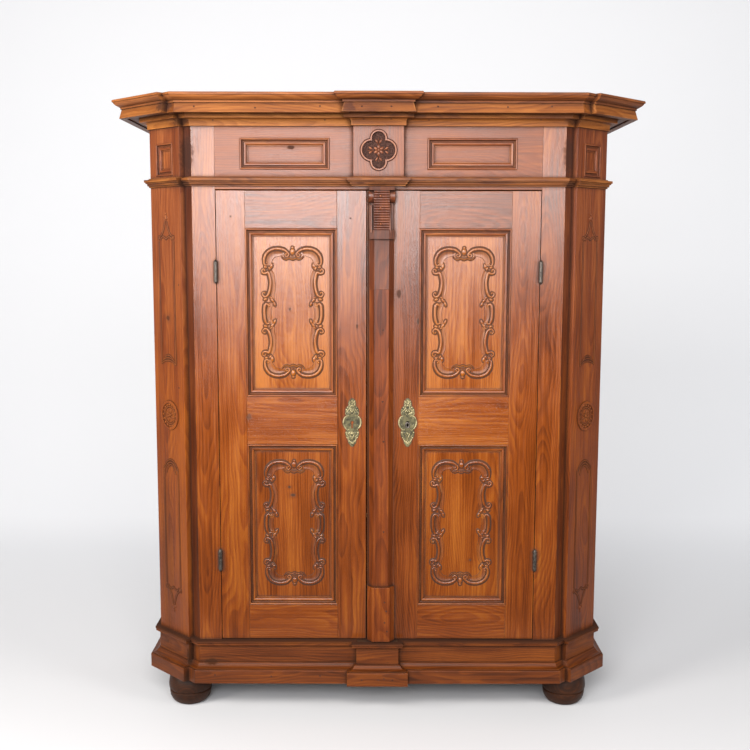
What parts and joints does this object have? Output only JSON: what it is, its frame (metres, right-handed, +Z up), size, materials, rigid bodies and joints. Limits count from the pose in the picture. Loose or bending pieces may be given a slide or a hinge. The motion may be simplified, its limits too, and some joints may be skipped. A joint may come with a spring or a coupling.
{
  "type": "two-door wardrobe cabinet",
  "caption": "Tall two-door wooden cabinet with canted corners, moulded cornice and base, framed panelled doors, a pilaster over the meeting line, shelves inside and turned bun feet.",
  "frame": {"origin": "on the floor, below the centre of the cabinet's bounding box", "axes": "+Z up; +Y to the back; +X to the right of someone who faces the doors"},
  "size_m": [1.615, 0.6456, 1.9],
  "materials": {
    "case_wood": "waxed cherry, fine grain",
    "panel_wood": "waxed cherry, upright grain",
    "moulding_wood": "waxed cherry, darker",
    "pilaster_wood": "waxed cherry, straight grain",
    "base_wood": "waxed cherry, darkened by feet and brooms",
    "corner_wood": "waxed cherry, dark in its recess",
    "foot_wood": "waxed, worn and darker",
    "inner_wood": "plain planed softwood",
    "iron": "forged, dark",
    "brass": "cast, tarnished greenish"
  },
  "bodies": {
    "carcass": {"architrave_moulding": "moulding_wood", "back_boards": "inner_wood", "base_frame": "base_wood", "base_top_moulding": "base_wood", "bed_moulding": "moulding_wood", "bolt_catch": "iron", "bun_feet": "foot_wood", "corner_board_left": "corner_wood", "corner_board_right": "corner_wood", "corner_pilaster_left": "pilaster_wood", "corner_pilaster_right": "pilaster_wood", "cornice_boards": "inner_wood", "cornice_fascia": "moulding_wood", "crown_moulding": "moulding_wood", "floor_board": "inner_wood", "frieze_block": "case_wood", "frieze_mouldings": "moulding_wood", "frieze_rail": "case_wood", "front_stile_left": "case_wood", "front_stile_right": "case_wood", "hinge_frame_halves": "iron", "plinth_band": "base_wood", "plinth_cove": "base_wood", "quatrefoil_medallion": "moulding_wood", "shelf_bearers": "inner_wood", "shelves": "inner_wood", "side_frame_left": "case_wood", "side_frame_right": "case_wood", "side_panels": "panel_wood", "top_board": "inner_wood"},
    "lock_bolt": {"lock_bolt": "iron"},
    "top_bolt": {"left_door_top_bolt": "iron"},
    "bottom_bolt": {"left_door_bottom_bolt": "iron"},
    "left_door": {"left_door_bolt_plates": "iron", "left_door_bottom_rail": "case_wood", "left_door_hinge_halves": "iron", "left_door_hinge_stile": "case_wood", "left_door_lock_stile": "case_wood", "left_door_lower_panel": "panel_wood", "left_door_middle_rail": "case_wood", "left_door_panel_mouldings": "moulding_wood", "left_door_top_rail": "case_wood", "left_door_upper_panel": "panel_wood", "left_key_plate": "brass", "lock_keeper": "iron"},
    "right_door": {"lock_case": "iron", "pilaster_base": "pilaster_wood", "pilaster_console": "pilaster_wood", "pilaster_shaft": "pilaster_wood", "right_door_bottom_rail": "case_wood", "right_door_hinge_halves": "iron", "right_door_hinge_stile": "case_wood", "right_door_lock_stile": "case_wood", "right_door_lower_panel": "panel_wood", "right_door_middle_rail": "case_wood", "right_door_panel_mouldings": "moulding_wood", "right_door_top_rail": "case_wood", "right_door_upper_panel": "panel_wood", "right_key_plate": "brass"}
  },
  "joints": [
    {"name": "left_door_hinge", "type": "hinge", "parent": "carcass", "child": "left_door", "pos_m": [-0.488, -0.20425, 0.94], "axis": [0, 0, -1], "range_deg": [0, 170]},
    {"name": "right_door_hinge", "type": "hinge", "parent": "carcass", "child": "right_door", "pos_m": [0.488, -0.20425, 0.94], "axis": [0, 0, 1], "range_deg": [0, 170]},
    {"name": "lock_bolt_slide", "type": "slide", "parent": "right_door", "child": "lock_bolt", "axis": [-1, 0, 0], "range_m": [0, 0.024]},
    {"name": "top_bolt_slide", "type": "slide", "parent": "left_door", "child": "top_bolt", "axis": [0, 0, 1], "range_m": [0, 0.022]},
    {"name": "bottom_bolt_slide", "type": "slide", "parent": "left_door", "child": "bottom_bolt", "axis": [0, 0, -1], "range_m": [0, 0.022]}
  ]
}
